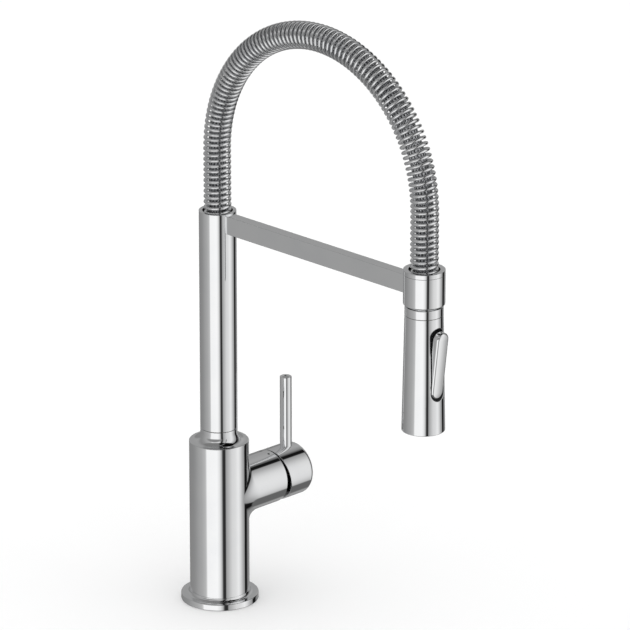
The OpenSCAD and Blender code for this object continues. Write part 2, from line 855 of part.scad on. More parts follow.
module head_shell() {
    color(chrome) on_head() difference() {
        translate([0, 0, shell_bottom]) cylinder(r1 = end_r, r2 = collar_r, h = shell_l);
        translate([0, 0, shell_bottom - 1]) cylinder(
            r1 = end_r - shell_wall + (end_r - collar_r) / shell_l,
            r2 = collar_r - shell_wall - (end_r - collar_r) / shell_l,
            h = shell_l + 2
        );
        opening_cut(opening_w, opening_h, 4, end_r + 4);
    }
}

module water_core() {
    color(white_plastic) on_head() difference() {
        union() {
            translate([0, 0, core_bottom]) cylinder(r = core_r, h = core_top - core_bottom);
            translate([0, 0, core_top - 1]) cylinder(r = fitting_r, h = spigot_top - core_top + 1);
            translate([0, 0, core_bottom - 3]) cylinder(r = plate_r - rim_wall - slip, h = 5);
        }
        // flat behind the toggle's surround
        translate([-20, -20 - core_flat, toggle_z - opening_h / 2 - 1]) cube([40, 20, opening_h + 2]);
        // inlet, diverter bore and the two outlets
        translate([0, 0, spigot_top - 18]) cylinder(r = valve_r, h = 20);
        translate([0, 0, spool_z]) cylinder(r = 3.2, h = spigot_top - spool_z);
        forward_rod(spool_r + running, -8.5, 20, spool_z);
        translate([0, 3.2, core_bottom - 4]) cylinder(r = 1.8, h = spool_z - core_bottom + 4);
        translate([0, -3.4, core_bottom - 4]) cylinder(r = 1.8, h = spool_z - core_bottom + 4);
        // groove of the plate's seal
        tube(plate_r + 2, plate_r - rim_wall - slip - 1, core_bottom - 2.2, core_bottom - 0.8);
    }
}

module toggle_surround() {
    outer_w = opening_w - 2 * surround_gap;
    outer_h = opening_h - 2 * surround_gap;
    color(plastic) on_head() difference() {
        intersection() {
            opening_cut(outer_w, outer_h, floor_face - surround_floor, end_r + 2);
            translate([0, 0, shell_bottom]) cylinder(r1 = end_r - 0.05, r2 = collar_r - 0.05, h = shell_l);
        }
        opening_cut(outer_w - 2 * surround_wall, outer_h - 2 * surround_wall, floor_face, end_r + 4);
        forward_rod(spool_r + 0.6, 0, 20, spool_z);
        translate([0, -toggle_axle, toggle_z]) rotate([0, 90, 0])
            cylinder(r = toggle_pin_r + 0.02, h = 40, center = true);
    }
}

module toggle_pin() {
    color(steel) on_head() translate([0, -toggle_axle, toggle_z]) rotate([0, 90, 0])
        cylinder(r = toggle_pin_r, h = opening_w - 0.3, center = true);
}

module on_toggle() {
    on_head() translate([0, -toggle_axle, toggle_z]) rotate([toggle_lean, 0, 0]) children();
}

module spray_toggle() {
    color(chrome) difference() {
        union() {
            on_toggle() translate([0, -toggle_setback, 0]) rotate([90, 0, 0])
                linear_extrude(toggle_t) stadium(toggle_w, toggle_l);
            on_toggle() rotate([0, 90, 0]) cylinder(r = toggle_boss_r, h = toggle_w - 2, center = true);
            on_toggle() translate([1 - toggle_w / 2, -toggle_setback - 1, -toggle_boss_r])
                cube([toggle_w - 2, toggle_setback + 1, 2 * toggle_boss_r]);
            on_head() forward_rod(peg_r, peg_tip, toggle_face, spool_z);
        }
        on_toggle() rotate([0, 90, 0]) cylinder(r = toggle_pin_r + running, h = 40, center = true);
    }
}

module diverter_spool() {
    color(plastic) on_head() difference() {
        forward_rod(spool_r, -spool_back, peg_tip - pass, spool_z);
        for (y = [-3, 5]) difference() {
            forward_rod(spool_r + 1, y - 0.6, y + 0.6, spool_z);
            forward_rod(1.6, y - 2, y + 2, spool_z);
        }
    }
}

module spool_seals() {
    color(rubber) on_head() for (y = [-3, 5])
        translate([0, -y, spool_z]) rotate([90, 0, 0]) torus(2.05, 0.42, 0);
}

module diverter_spring() {
    wire = 0.4;
    length = 3.2;
    coil = 1.9;
    count = 4;
    steps = 8 * count;
    angles = [for (i = [0 : steps]) 360 * count * i / steps];
    outs = [for (a = angles) [cos(a), 0, sin(a)]];
    start = [0, spool_back + 0.3 + wire / 2, spool_z];
    centres = [for (i = [0 : steps]) start + coil * outs[i] + [0, (length - wire) * i / steps, 0]];
    sides = [for (a = angles) [0, -1, 0]];
    color(steel) on_head() swept_wire(centres, outs, sides, wire / 2, 6);
}

module nozzle_places() {
    inner = aerator_r + 1.9;
    outer = plate_r - rim_wall - 1.2;
    for (i = [0 : nozzle_count - 1]) rotate([0, 0, 360 * i / nozzle_count])
        translate([inner, 0, 0]) children();
    for (i = [0 : nozzle_count * 3 / 2 - 1]) rotate([0, 0, 240 * (i + 0.5) / nozzle_count])
        translate([outer, 0, 0]) children();
}

module spray_plate() {
    color(plastic) on_head() difference() {
        union() {
            translate([0, 0, plate_z]) cylinder(r = plate_r, h = plate_t);
            tube(plate_r, plate_r - rim_wall, plate_z + 1, core_bottom + 1);
        }
        translate([0, 0, plate_z - 1]) cylinder(r = aerator_r + slip, h = 10);
        translate([0, 0, plate_z - 1]) nozzle_places() cylinder(r = nozzle_r + 0.02, h = 10, $fn = 24);
        translate([0, 0, core_bottom - 0.05]) cylinder(r = core_r + 0.05, h = 5);
    }
}

module spray_nozzles() {
    color(rubber) on_head() translate([0, 0, plate_z - 0.6]) nozzle_places() difference() {
        cylinder(r = nozzle_r, h = plate_t + 0.6, $fn = 24);
        translate([0, 0, -1]) cylinder(r = 0.35, h = 10, $fn = 16);
    }
}

module plate_seal() {
    color(rubber) on_head() torus(plate_r - rim_wall - slip - 0.5, 0.5, core_bottom - 1.5);
}

module face_ring() {
    color(chrome) on_head() rotate_extrude() difference() {
        translate([plate_r + 0.1, shell_bottom + 0.3]) square([end_r - shell_wall - plate_r - 0.35, 6]);
        translate([plate_r + 0.1, shell_bottom + 0.3]) rotate(45) square(0.8, center = true);
    }
}

module aerator() {
    grid = 1.9;
    color(plastic) on_head() difference() {
        translate([0, 0, plate_z - 0.2]) cylinder(r = aerator_r, h = plate_t + 1.2);
        for (i = [-3 : 3], j = [-3 : 3]) {
            x = (i + j / 2) * grid;
            y = j * grid * 0.866;
            if (norm([x, y]) < aerator_r - 1.4)
                translate([x, y, plate_z - 1]) cylinder(r = 0.7, h = 9, $fn = 6);
        }
    }
}

base_gasket();
base_flange();
mixer_body();
swivel_bushes();
swivel_screw();
cartridge_housing();
cartridge_seals();
fixed_disc();
retaining_nut();
dome_ring();
temperature_marks();
temperature_rotor();
stem_pin();
disc_carrier();
moving_disc();
cartridge_stem();
handle_cap();
lever_pin();
lever_screw();
column_foot();
column_seals();
column_tube();
riser_tube();
hose_connector();
spring_seat();
support_arm();
docking_ring();
ring_cap();
ring_liner();
arm_screws();
spring();
inner_hose();
spring_cup();
hose_ferrule();
hose_fitting();
head_collar();
hose_nut();
hose_washer();
check_valve();
head_shell();
water_core();
toggle_surround();
toggle_pin();
spray_plate();
plate_seal();
spray_nozzles();
face_ring();
aerator();
diverter_spring();
spray_toggle();
diverter_spool();
spool_seals();
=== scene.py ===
import json
import math

import bmesh
import bpy
import numpy as np
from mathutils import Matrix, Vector


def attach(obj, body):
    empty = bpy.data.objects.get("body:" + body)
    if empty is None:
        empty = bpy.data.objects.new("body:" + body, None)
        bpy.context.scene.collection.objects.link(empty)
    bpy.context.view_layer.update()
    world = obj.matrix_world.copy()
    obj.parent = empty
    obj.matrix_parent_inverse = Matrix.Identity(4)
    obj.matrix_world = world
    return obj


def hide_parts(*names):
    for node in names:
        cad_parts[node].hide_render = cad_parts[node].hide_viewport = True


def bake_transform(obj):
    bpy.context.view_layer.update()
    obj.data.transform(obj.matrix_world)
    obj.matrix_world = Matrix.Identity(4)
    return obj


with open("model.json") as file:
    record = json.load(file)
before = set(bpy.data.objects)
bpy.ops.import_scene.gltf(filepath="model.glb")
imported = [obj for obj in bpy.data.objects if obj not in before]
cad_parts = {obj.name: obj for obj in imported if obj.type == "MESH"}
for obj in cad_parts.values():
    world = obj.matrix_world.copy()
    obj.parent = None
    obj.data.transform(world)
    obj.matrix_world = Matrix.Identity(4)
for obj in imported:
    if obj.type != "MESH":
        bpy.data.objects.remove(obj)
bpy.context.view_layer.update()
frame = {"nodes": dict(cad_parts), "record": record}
print("stage: frame loaded")

millimetre = 0.001
# sizes of the whole object in millimetres, shared by several pieces
main = {
    "stubZ": 89.5,
    "pivotX": 46.0,
    "bodyRadius": 24.0,
    "bodyTop": 136.0,
    "bodyFoot": 7.9,
    "neckTop": 146.7,
    "reach": 227.7,
    "headTop": 306.9,
    "headSeam": 299.9,
    "shellTop": 299.6,
    "shellBottom": 205.9,
    "archZ": 381.5,
}


def roundedProfile(corners, steps=5, support=0.12):
    # points of a polygon whose corners (x, y, radius) are rounded, each arc held by a close point on
    # either side
    points = []
    count = len(corners)
    for i, (x, y, radius) in enumerate(corners):
        here = np.array([x, y], float)
        before = np.array(corners[i - 1][:2], float) - here
        after = np.array(corners[(i + 1) % count][:2], float) - here
        if radius <= 0:
            points.append(here)
            continue
        lengthBefore, lengthAfter = np.linalg.norm(before), np.linalg.norm(after)
        before, after = before / lengthBefore, after / lengthAfter
        half = math.acos(np.clip(before @ after, -1, 1)) / 2
        setback = radius / math.tan(half)
        centre = here + (before + after) / np.linalg.norm(before + after) * radius / math.sin(half)
        start, end = here + before * setback, here + after * setback
        points.append(start + before * min(support, (lengthBefore - setback) / 3))
        for k in range(steps + 1):
            t = k / steps
            sweep = math.pi - 2 * half
            a = (start - centre) / radius
            b = (end - centre) / radius
            arc = radius * (math.sin((1 - t) * sweep) * a + math.sin(t * sweep) * b) / math.sin(sweep)
            points.append(centre + arc)
        points.append(end + after * min(support, (lengthAfter - setback) / 3))
    return [tuple(p) for p in points]


def faceOutwards(mesh, mergeWithin=None):
    edited = bmesh.new()
    edited.from_mesh(mesh)
    if mergeWithin:
        bmesh.ops.remove_doubles(edited, verts=edited.verts, dist=mergeWithin)
    bmesh.ops.recalc_face_normals(edited, faces=edited.faces)
    edited.to_mesh(mesh)
    edited.free()


def addPiece(name, body, slotName, vertices, faces, material, replaced=(), scale=millimetre):
    mesh = bpy.data.meshes.new(name)
    mesh.from_pydata([tuple(c * scale for c in v) for v in vertices], [], faces)
    mesh.validate()
    faceOutwards(mesh, 1e-7)
    for polygon in mesh.polygons:
        polygon.use_smooth = True
    mesh.materials.append(material)
    piece = bpy.data.objects.new(name, mesh)
    bpy.context.scene.collection.objects.link(piece)
    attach(piece, body)
    if replaced:
        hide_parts(*replaced)
    return piece


def ringFaces(rings, count, closed):
    faces = []
    total = len(rings) if closed else len(rings) - 1
    for i in range(total):
        a, b = rings[i], rings[(i + 1) % len(rings)]
        for k in range(count):
            n = (k + 1) % count
            faces.append([a + k, a + n, b + n, b + k])
    return faces


def revolved(profile, segments=160, toPoint=None):
    # a closed profile of (radius, height) turned round the vertical axis, or round whatever toPoint gives
    toPoint = toPoint or (lambda r, h, c, s: (r * c, r * s, h))
    vertices, rings = [], []
    angles = [2 * math.pi * k / segments for k in range(segments)]
    closed = all(r > 1e-9 for r, _ in profile)
    for r, h in profile:
        rings.append(len(vertices))
        vertices += [toPoint(r, h, math.cos(a), math.sin(a)) for a in angles]
    return vertices, ringFaces(rings, segments, closed)


def atHead(vertices):
    return [(x, y - main["reach"], z) for x, y, z in vertices]


def lathe(name, body, slotName, corners, material, replaced=(), head=False, segments=160, steps=5):
    vertices, faces = revolved(roundedProfile(corners, steps), segments)
    if head:
        vertices = atHead(vertices)
    return addPiece(name, body, slotName, vertices, faces, material, replaced)


def alongStub(r, h, c, s):
    return (h, r * s, main["stubZ"] + r * c)


def stadiumLoop(width, height, perEnd=24, perSide=24):
    # the outline of a slot standing upright, counter-clockwise, as (across, up)
    radius = width / 2
    straight = height / 2 - radius
    loop = []
    for k in range(perEnd):
        a = math.pi * k / perEnd
        loop.append((radius * math.cos(a), straight + radius * math.sin(a)))
    for k in range(perSide):
        loop.append((-radius, straight - 2 * straight * k / perSide))
    for k in range(perEnd):
        a = math.pi + math.pi * k / perEnd
        loop.append((radius * math.cos(a), -straight + radius * math.sin(a)))
    for k in range(perSide):
        loop.append((radius, -straight + 2 * straight * k / perSide))
    return loop


def lofted(loops, cap=True):
    vertices, rings = [], []
    count = len(loops[0])
    for loop in loops:
        rings.append(len(vertices))
        vertices += list(loop)
    faces = ringFaces(rings, count, False)
    if cap:
        faces.append(list(range(rings[0], rings[0] + count))[::-1])
        faces.append(list(range(rings[-1], rings[-1] + count)))
    return vertices, faces


def merged(*parts):
    vertices, faces = [], []
    for v, f in parts:
        base = len(vertices)
        vertices += list(v)
        faces += [[i + base for i in face] for face in f]
    return vertices, faces


class Value:
    # a node's output, so that node maths can be written as sums

    def __init__(self, maker, socket):
        self.maker, self.socket = maker, socket

    def math(self, operation, *others):
        return self.maker.math(operation, self, *others)

    def __add__(self, other):
        return self.math("ADD", other)

    __radd__ = __add__

    def __sub__(self, other):
        return self.math("SUBTRACT", other)

    def __rsub__(self, other):
        return self.maker.math("SUBTRACT", other, self)

    def __mul__(self, other):
        return self.math("MULTIPLY", other)

    __rmul__ = __mul__

    def __truediv__(self, other):
        return self.math("DIVIDE", other)

    def __rtruediv__(self, other):
        return self.maker.math("DIVIDE", other, self)

    def clamped(self):
        return self.maker.value(self.maker.node("ShaderNodeClamp", {"Value": self}))

    def smooth(self, low, high, outLow=0.0, outHigh=1.0):
        inputs = {"Value": self, "From Min": low, "From Max": high, "To Min": outLow, "To Max": outHigh}
        made = self.maker.node("ShaderNodeMapRange", inputs, interpolation_type="SMOOTHSTEP")
        return self.maker.value(made, "Result")


class Maker:
    # makes any node of one tree: its settings first, then the values or links of its sockets

    def __init__(self, tree):
        self.tree = tree

    def node(self, kind, inputs=None, stops=None, **settings):
        made = self.tree.nodes.new(kind)
        for key, value in settings.items():
            setattr(made, key, value)
        if stops:
            self.setStops(made.color_ramp.elements, stops)
        return self.fill(made, inputs or {})

    def fill(self, made, inputs):
        for key, value in inputs.items():
            if isinstance(value, Value):
                value = value.socket
            if isinstance(value, bpy.types.NodeSocket):
                self.tree.links.new(value, made.inputs[key])
            else:
                made.inputs[key].default_value = value
        return made

    def setStops(self, elements, stops):
        while len(elements) > 1:
            elements.remove(elements[-1])
        for i, (position, level) in enumerate(stops):
            stop = elements.new(position) if i else elements[0]
            stop.position = position
            stop.color = (level, level, level, 1)

    def value(self, made, output=0):
        return Value(self, made.outputs[output])

    def math(self, operation, *items):
        return self.value(self.node("ShaderNodeMath", dict(enumerate(items)), operation=operation))

    def mix(self, factor, a, b):
        # a colour mix has its factor on socket 0, its colours on 6 and 7, and gives the colour on output 2
        made = self.node("ShaderNodeMix", {0: factor, 6: (*a, 1.0), 7: (*b, 1.0)}, data_type="RGBA")
        return made.outputs[2]


def newMaterial(name):
    material = bpy.data.materials.new(name)
    material.use_nodes = True
    maker = Maker(material.node_tree)
    shader = material.node_tree.nodes["Principled BSDF"]
    return material, maker, shader


def noise(maker, scale, detail=2.0, stretch=(1, 1, 1), roughness=0.5):
    coordinates = maker.node("ShaderNodeTexCoord")
    mapping = maker.node("ShaderNodeMapping", {"Vector": coordinates.outputs["Object"], "Scale": stretch})
    made = maker.node(
        "ShaderNodeTexNoise",
        {"Vector": mapping.outputs[0], "Scale": scale, "Detail": detail, "Roughness": roughness},
    )
    return maker.value(made, 0)


def chromeMaterial(name, base, tarnish, roughness, wear):
    # polished plate: a faint haze, a very slight unevenness of the polish and a few specks
    material, maker, shader = newMaterial(name)
    haze = noise(maker, 38.0, 3.0)
    speck = noise(maker, 900.0, 1.0).smooth(0.72, 0.8)
    fine = noise(maker, 260.0, 4.0)
    colour = maker.mix((haze.smooth(0.35, 0.75) * wear).clamped(), base, tarnish)
    rough = roughness + fine.smooth(0.35, 0.7) * (roughness * 0.6) + speck * 0.04
    maker.fill(shader, {"Metallic": 1.0, "Base Color": colour, "Roughness": rough})
    return material


def plainMaterial(name, low, high, roughness, bump, scale, metallic=0.0, stretch=(1, 1, 1), spread=0.15):
    # any plain surface: a colour that drifts a little, uneven gloss and a grain in the normal
    material, maker, shader = newMaterial(name)
    grain = noise(maker, scale, 4.0, stretch)
    drift = noise(maker, scale * 0.12, 2.0)
    colour = maker.mix(drift.smooth(0.3, 0.7), low, high)
    rough = grain.smooth(0.25, 0.75, roughness * (1 - spread), min(1.0, roughness * (1 + spread)))
    raised = maker.node("ShaderNodeBump", {"Strength": 0.35, "Distance": bump, "Height": grain}).outputs[0]
    maker.fill(shader, {"Metallic": metallic, "Base Color": colour, "Roughness": rough, "Normal": raised})
    return material


def braidMaterial(name):
    # woven wire: two families of strands that cross, with painted shade darkening the low parts of the weave
    # between them
    settings = {"strands": 16.0, "depth": 0.00045}
    material, maker, shader = newMaterial(name)
    uv = maker.node("ShaderNodeUVMap", uv_map="alongAndRound")
    parts = maker.node("ShaderNodeSeparateXYZ", {"Vector": uv.outputs[0]})
    along, around = maker.value(parts, 0), maker.value(parts, 1)
    turn = around * settings["strands"] * 2 * math.pi
    run = along * 2 * math.pi
    first = (turn + run).math("SINE") * 0.5 + 0.5
    second = (turn - run).math("SINE") * 0.5 + 0.5
    over = (run.math("SINE") * turn.math("SINE")).smooth(-0.25, 0.25)
    height = first * over + second * (1 - over)
    ground = height.smooth(0.15, 0.65)
    # painted shade: the colour goes near black where the weave is low, between the strands
    colour = maker.mix(ground, (0.1, 0.1, 0.105), (0.66, 0.67, 0.69))
    rough = ground.smooth(0.0, 1.0, 0.5, 0.24)
    bump = {"Strength": 0.8, "Distance": settings["depth"], "Height": height}
    raised = maker.node("ShaderNodeBump", bump).outputs[0]
    maker.fill(shader, {"Metallic": 0.9, "Base Color": colour, "Roughness": rough, "Normal": raised})
    return material


chrome = chromeMaterial("chrome", (0.93, 0.935, 0.94), (0.86, 0.87, 0.885), 0.013, 0.5)
wireChrome = chromeMaterial("wireChrome", (0.92, 0.925, 0.93), (0.8, 0.81, 0.83), 0.06, 0.6)
brass = plainMaterial("brass", (0.62, 0.45, 0.18), (0.74, 0.56, 0.27), 0.28, 0.00002, 900.0, 1.0, (1, 1, 6))
steel = plainMaterial("steel", (0.5, 0.51, 0.52), (0.64, 0.65, 0.66), 0.25, 0.00002, 1200.0, 1.0, (1, 1, 8))
rubber = plainMaterial("rubber", (0.012, 0.012, 0.013), (0.03, 0.03, 0.031), 0.6, 0.00006, 1500.0)
darkPlastic = plainMaterial(
    "darkPlastic", (0.016, 0.017, 0.019), (0.035, 0.036, 0.039), 0.42, 0.00005, 2200.0
)
whitePlastic = plainMaterial("whitePlastic", (0.72, 0.72, 0.69), (0.8, 0.8, 0.77), 0.4, 0.00003, 1400.0)
ceramic = plainMaterial("ceramic", (0.8, 0.78, 0.73), (0.87, 0.85, 0.81), 0.12, 0.00001, 3000.0)
braid = braidMaterial("hoseBraid")
slotMaterials = {
    "chrome": chrome,
    "brass": brass,
    "steel": steel,
    "rubber": rubber,
    "dark_plastic": darkPlastic,
    "white_plastic": whitePlastic,
    "ceramic": ceramic,
    "hose_braid": braid,
}
print("stage: materials made")

slotOf = {part["node"]: part["material_slot"] for part in frame["record"]["subparts"]}
for nodeName, node in frame["nodes"].items():
    node.data.materials.clear()
    node.data.materials.append(slotMaterials[slotOf[nodeName]])


foot = {"outer": 31.3, "height": 5.1, "edge": 0.7, "cove": 2.8, "inner": 21.1}


def buildFoot():
    coveCentre = (main["bodyRadius"] + foot["cove"], main["bodyFoot"])
    corners = [
        (foot["inner"], 0.0, 0.2),
        (foot["outer"], 0.0, 0.4),
        (foot["outer"], foot["height"], foot["edge"]),
    ]
    profile = roundedProfile(corners + [(foot["inner"], foot["height"], 0.0)])[:-1]
    for k in range(13):
        a = math.pi * 1.5 - math.pi / 2 * k / 12
        across, up = foot["cove"] * math.cos(a), foot["cove"] * math.sin(a)
        profile.append((coveCentre[0] + across, coveCentre[1] + up))
    profile += [(main["bodyRadius"], main["bodyFoot"] - 0.02), (foot["inner"], main["bodyFoot"] - 0.02)]
    vertices, faces = revolved(profile, 192)
    addPiece("footPlate", "base", "chrome", vertices, faces, chrome, ["base_flange"])


body = {
    "stubRadius": 21.75,
    "blend": 8.0,
    "blendTilt": 5.0,
    "sideTurn": math.radians(10.1),
    "sideReach": 13.0,
    "sidePower": 10,
    "stubEnd": 56.0,
    "edge": 0.7,
    "chamber": 18.8,
    "chamberDepth": 12.0,
    "topEdge": 0.7,
    "neckRadius": 14.9,
    "neckCurve": 7.4,
    "socket": 13.0,
    "socketFloor": 109.0,
    "hollow": 20.9,
    "windowTurn": 1.42,
    "windowRise": 39.0,
    "samples": 192,
}


def rectangleLoop(halfWidth, low, high, count):
    # evenly spaced points along each side of an upright rectangle, starting at its top corner
    corners = [
        (halfWidth, high),
        (-halfWidth, high),
        (-halfWidth, low),
        (halfWidth, low),
    ]
    loop = []
    quarter = count // 4
    for a, b in zip(corners, corners[1:] + corners[:1]):
        for k in range(quarter):
            t = k / quarter
            loop.append((a[0] + (b[0] - a[0]) * t, a[1] + (b[1] - a[1]) * t))
    return loop


def crossing(start, startNormal, end, endNormal, steps):
    # a smooth bridge between two skins that leaves the one and meets the other along their surfaces
    chord = end - start
    span = np.linalg.norm(chord)
    leave, meet = (chord - (chord @ np.array(n)) * np.array(n) for n in (startNormal, endNormal))
    leave, meet = leave / np.linalg.norm(leave), meet / np.linalg.norm(meet)
    turn = max(math.acos(np.clip(leave @ meet, -1, 1)), 1e-4)
    pull = 2 * span * math.tan(turn / 4) / math.sin(turn / 2)
    points = []
    for i in range(steps + 1):
        s = i / steps
        point = (2 * s**3 - 3 * s**2 + 1) * start + (s**3 - 2 * s**2 + s) * pull * leave
        points.append(point + (3 * s**2 - 2 * s**3) * end + (s**3 - s**2) * pull * meet)
    return points


def buildMixerBody():
    # one skin: the upright cylinder, the side stub and a rolled fillet between them, with the neck and
    # the socket
    big, small = main["bodyRadius"], body["stubRadius"]
    count = body["samples"]
    # sample k starts at the rectangle's top right corner, seen from outside along the stub
    angles = [math.pi / 4 + 2 * math.pi * k / count for k in range(count)]
    stubZ = main["stubZ"]
    rows = {"stub": [], "fillet": [[] for _ in range(19)]}
    contact = []
    for a in angles:
        # a ball rolled along both cylinders gives the two edges of the blend, drawn wider at the stub's sides
        blend = body["blend"] - body["blendTilt"] * math.sin(a)
        wide = abs(math.cos(a)) ** body["sidePower"]
        y, z = (small + blend) * math.cos(a), (small + blend) * math.sin(a)
        x = math.sqrt((big + blend) ** 2 - y * y) + wide * body["sideReach"]
        turn = math.asin(y / (big + blend)) + math.copysign(wide * body["sideTurn"], y)
        start = np.array([x, small * math.cos(a), small * math.sin(a)])
        end = np.array([big * math.cos(turn), big * math.sin(turn), z])
        stubNormal, bodyNormal = (0, math.cos(a), math.sin(a)), (math.cos(turn), math.sin(turn), 0)
        bridge = crossing(start, stubNormal, end, bodyNormal, 18)
        for i, point in enumerate(bridge):
            rows["fillet"][i].append(tuple(point + (0, 0, stubZ)))
        contact.append((turn, z + stubZ))
        rows["stub"].append((x, small * math.cos(a), stubZ + small * math.sin(a)))
    end, edge = body["stubEnd"], body["edge"]
    loops = []
    # from the bottom of the chamber out to the end face, round its edge and back along the stub
    depth, chamber = body["chamberDepth"], body["chamber"]
    section = [(end - depth, 0.02), (end - depth, chamber - 0.1), (end - depth + 0.1, chamber)]
    section += [(end - 0.3, chamber), (end, chamber + 0.3), (end, small - edge - 0.1)]
    for k in range(7):
        a = math.pi / 2 * k / 6
        section.append((end - edge + edge * math.cos(a), small - edge + edge * math.sin(a)))
    for x, r in section:
        loops.append([(x, r * math.cos(a), stubZ + r * math.sin(a)) for a in angles])
    steps = 10
    for i in range(steps):
        t = i / steps
        loops.append(
            [
                (end - edge - 0.12 + (p[0] - end + edge + 0.12) * t, p[1], p[2])
                for p in rows["stub"]
            ]
        )
    loops += rows["fillet"]
    rise = body["windowRise"]
    window = rectangleLoop(body["windowTurn"], stubZ - rise, stubZ + rise, count)
    spread = 14
    for i in range(1, spread + 1):
        t = i / spread
        loop = []
        for (turnA, zA), (turnB, zB) in zip(contact, window):
            turn, z = turnA + (turnB - turnA) * t, zA + (zB - zA) * t
            loop.append((big * math.cos(turn), big * math.sin(turn), z))
        loops.append(loop)
    stubPart = lofted(loops, cap=False)
    stubPart[1].append(list(range(count))[::-1])
    # the rest of the upright skin, sharing the window's edge points
    quarter = count // 4
    turns = sorted({round(p[0], 9) for p in window[: quarter + 1]})
    levels = sorted({round(p[1], 9) for p in window[quarter : 2 * quarter + 1]})
    back = [body["windowTurn"] + (2 * math.pi - 2 * body["windowTurn"]) * k / 110 for k in range(111)]
    vertices, faces = [], []

    def grid(turnList, zList):
        base = len(vertices)
        for z in zList:
            for turn in turnList:
                vertices.append((big * math.cos(turn), big * math.sin(turn), z))
        wide = len(turnList)
        for i in range(len(zList) - 1):
            for k in range(wide - 1):
                a = base + i * wide + k
                faces.append([a, a + 1, a + wide + 1, a + wide])

    grid(back, levels)
    allTurns = turns + back[1:]
    topEdge, top = body["topEdge"], main["bodyTop"]
    grid(allTurns, [levels[-1], (levels[-1] + top) / 2, top - topEdge - 0.12, top - topEdge])
    low = main["bodyFoot"] - 0.01
    grid(allTurns, [low, low + 0.06, low + 0.12, levels[0]])
    # over the top edge, up the neck's curve, down the socket, and the underside
    neck, curve = body["neckRadius"], body["neckCurve"]
    profile = []
    for k in range(7):
        a = math.pi / 2 * k / 6
        profile.append((big - topEdge + topEdge * math.cos(a), top - topEdge + topEdge * math.sin(a)))
    profile.append((neck + curve + 0.1, top))
    for k in range(17):
        a = -math.pi / 2 - math.pi / 2 * k / 16
        profile.append((neck + curve + curve * math.cos(a), top + curve + curve * math.sin(a)))
    neckTop = main["neckTop"]
    socket, socketFloor = body["socket"], body["socketFloor"]
    profile += [(neck, neckTop - 0.35), (neck, neckTop - 0.25), (neck - 0.25, neckTop)]
    profile += [(socket, neckTop), (socket, socketFloor), (0.02, socketFloor)]
    hollow, lowEnd = body["hollow"], main["bodyFoot"]
    underside = [(big, lowEnd - 0.01), (hollow, lowEnd - 0.1)]
    underside += [(hollow, 0.1), (hollow - 0.1, 0.0), (0.02, 0.0)]
    wide = len(allTurns) - 1
    turnRing = allTurns[:-1]
    for rings in (profile, underside):
        base = len(vertices)
        for r, z in rings:
            vertices.extend((r * math.cos(t), r * math.sin(t), z) for t in turnRing)
        faces.extend(ringFaces([base + i * wide for i in range(len(rings))], wide, False))
        faces.append(list(range(base + (len(rings) - 1) * wide, base + len(rings) * wide)))
    skin = merged(stubPart, (vertices, faces))
    addPiece("mixerBody", "base", "chrome", *skin, chrome, ["mixer_body"])


buildFoot()
buildMixerBody()
print("stage: foot and body built")

handle = {
    "radius": 21.6,
    "wall": 1.3,
    "start": 57.0,
    "slant": 6.4,
    "end": 86.6,
    "round": 4.0,
    "floor": 68.6,
    "pinX": 74.9,
    "pinRadius": 4.8,
    "pinRise": 6.0,
    "pinTop": 170.5,
    "domeRadius": 22.63,
    "domeWall": 1.2,
    "domeOpening": 15.0,
    "domeEnd": 56.05,
    "domeSeat": 54.0,
}


def buildHandle():
    slope = handle["slant"] / (2 * handle["radius"])
    radius, inner = handle["radius"], handle["radius"] - handle["wall"]
    count = 192
    angles = [2 * math.pi * k / count for k in range(count)]

    def rim(r, lift):
        slanted = [handle["start"] + (radius - r * math.cos(a)) * slope + lift for a in angles]
        return [(x, r * math.sin(a), main["stubZ"] + r * math.cos(a)) for x, a in zip(slanted, angles)]

    def flat(r, x):
        return [(x, r * math.sin(a), main["stubZ"] + r * math.cos(a)) for a in angles]

    edge = 0.25
    floor = handle["floor"]
    loops = [flat(0.02, floor), flat(inner - 0.2, floor), flat(inner, floor - 0.2)]
    loops += [rim(inner, 0.6), rim(inner, edge), rim(inner + edge * 0.3, edge * 0.3), rim(inner + edge, 0.0)]
    loops += [rim(radius - edge, 0.0), rim(radius - edge * 0.3, edge * 0.3)]
    loops += [rim(radius, edge), rim(radius, edge + 0.15)]
    end, curve = handle["end"], handle["round"]
    loops += [flat(radius, (handle["start"] + end) / 2 + 4), flat(radius, end - curve - 0.15)]
    for k in range(15):
        a = math.pi / 2 * k / 14
        loops.append(flat(radius - curve + curve * math.cos(a), end - curve + curve * math.sin(a)))
    loops += [flat(radius - curve - 0.15, end), flat(8.0, end), flat(0.02, end)]
    addPiece("handleCap", "handle", "chrome", *lofted(loops), chrome, ["handle_cap"])

    top, r = handle["pinTop"], handle["pinRadius"]
    bottom = main["stubZ"] + handle["pinRise"]
    profile = roundedProfile([(0.0, bottom, 0), (r, bottom, 0.1), (r, top, 0.55), (0.0, top, 0)], 4)
    profile = [(max(p[0], 0.01), p[1]) for p in profile]
    vertices, faces = revolved(profile, 96)
    vertices = [(x + handle["pinX"], y, z) for x, y, z in vertices]
    addPiece("leverPin", "handle", "chrome", vertices, faces, chrome, ["lever_pin"])

    outer, thin = handle["domeRadius"], handle["domeWall"]
    start = main["pivotX"]
    first = math.asin(handle["domeOpening"] / outer)
    last = math.acos((handle["domeEnd"] - start) / outer)
    profile = []
    for k in range(21):
        a = last + (first - last) * k / 20
        profile.append((outer * math.sin(a), start + outer * math.cos(a)))
    profile.append((profile[-1][0] - 0.2, profile[-1][1] - 0.1))
    for k in range(21):
        a = first + 0.02 + (last - first - 0.02) * k / 20
        profile.append(((outer - thin) * math.sin(a), start + (outer - thin) * math.cos(a)))
    profile += [(17.4, handle["domeSeat"]), (18.6, handle["domeSeat"]), (18.6, handle["domeEnd"])]
    vertices, faces = revolved(profile, 160, alongStub)
    # the ring sits deep in the gap between the stub's end and the handle cap; its dark plastic is partly its
    # own colour and partly painted shade for that gap
    addPiece("domeRing", "base", "dark_plastic", vertices, faces, darkPlastic, ["dome_ring"])


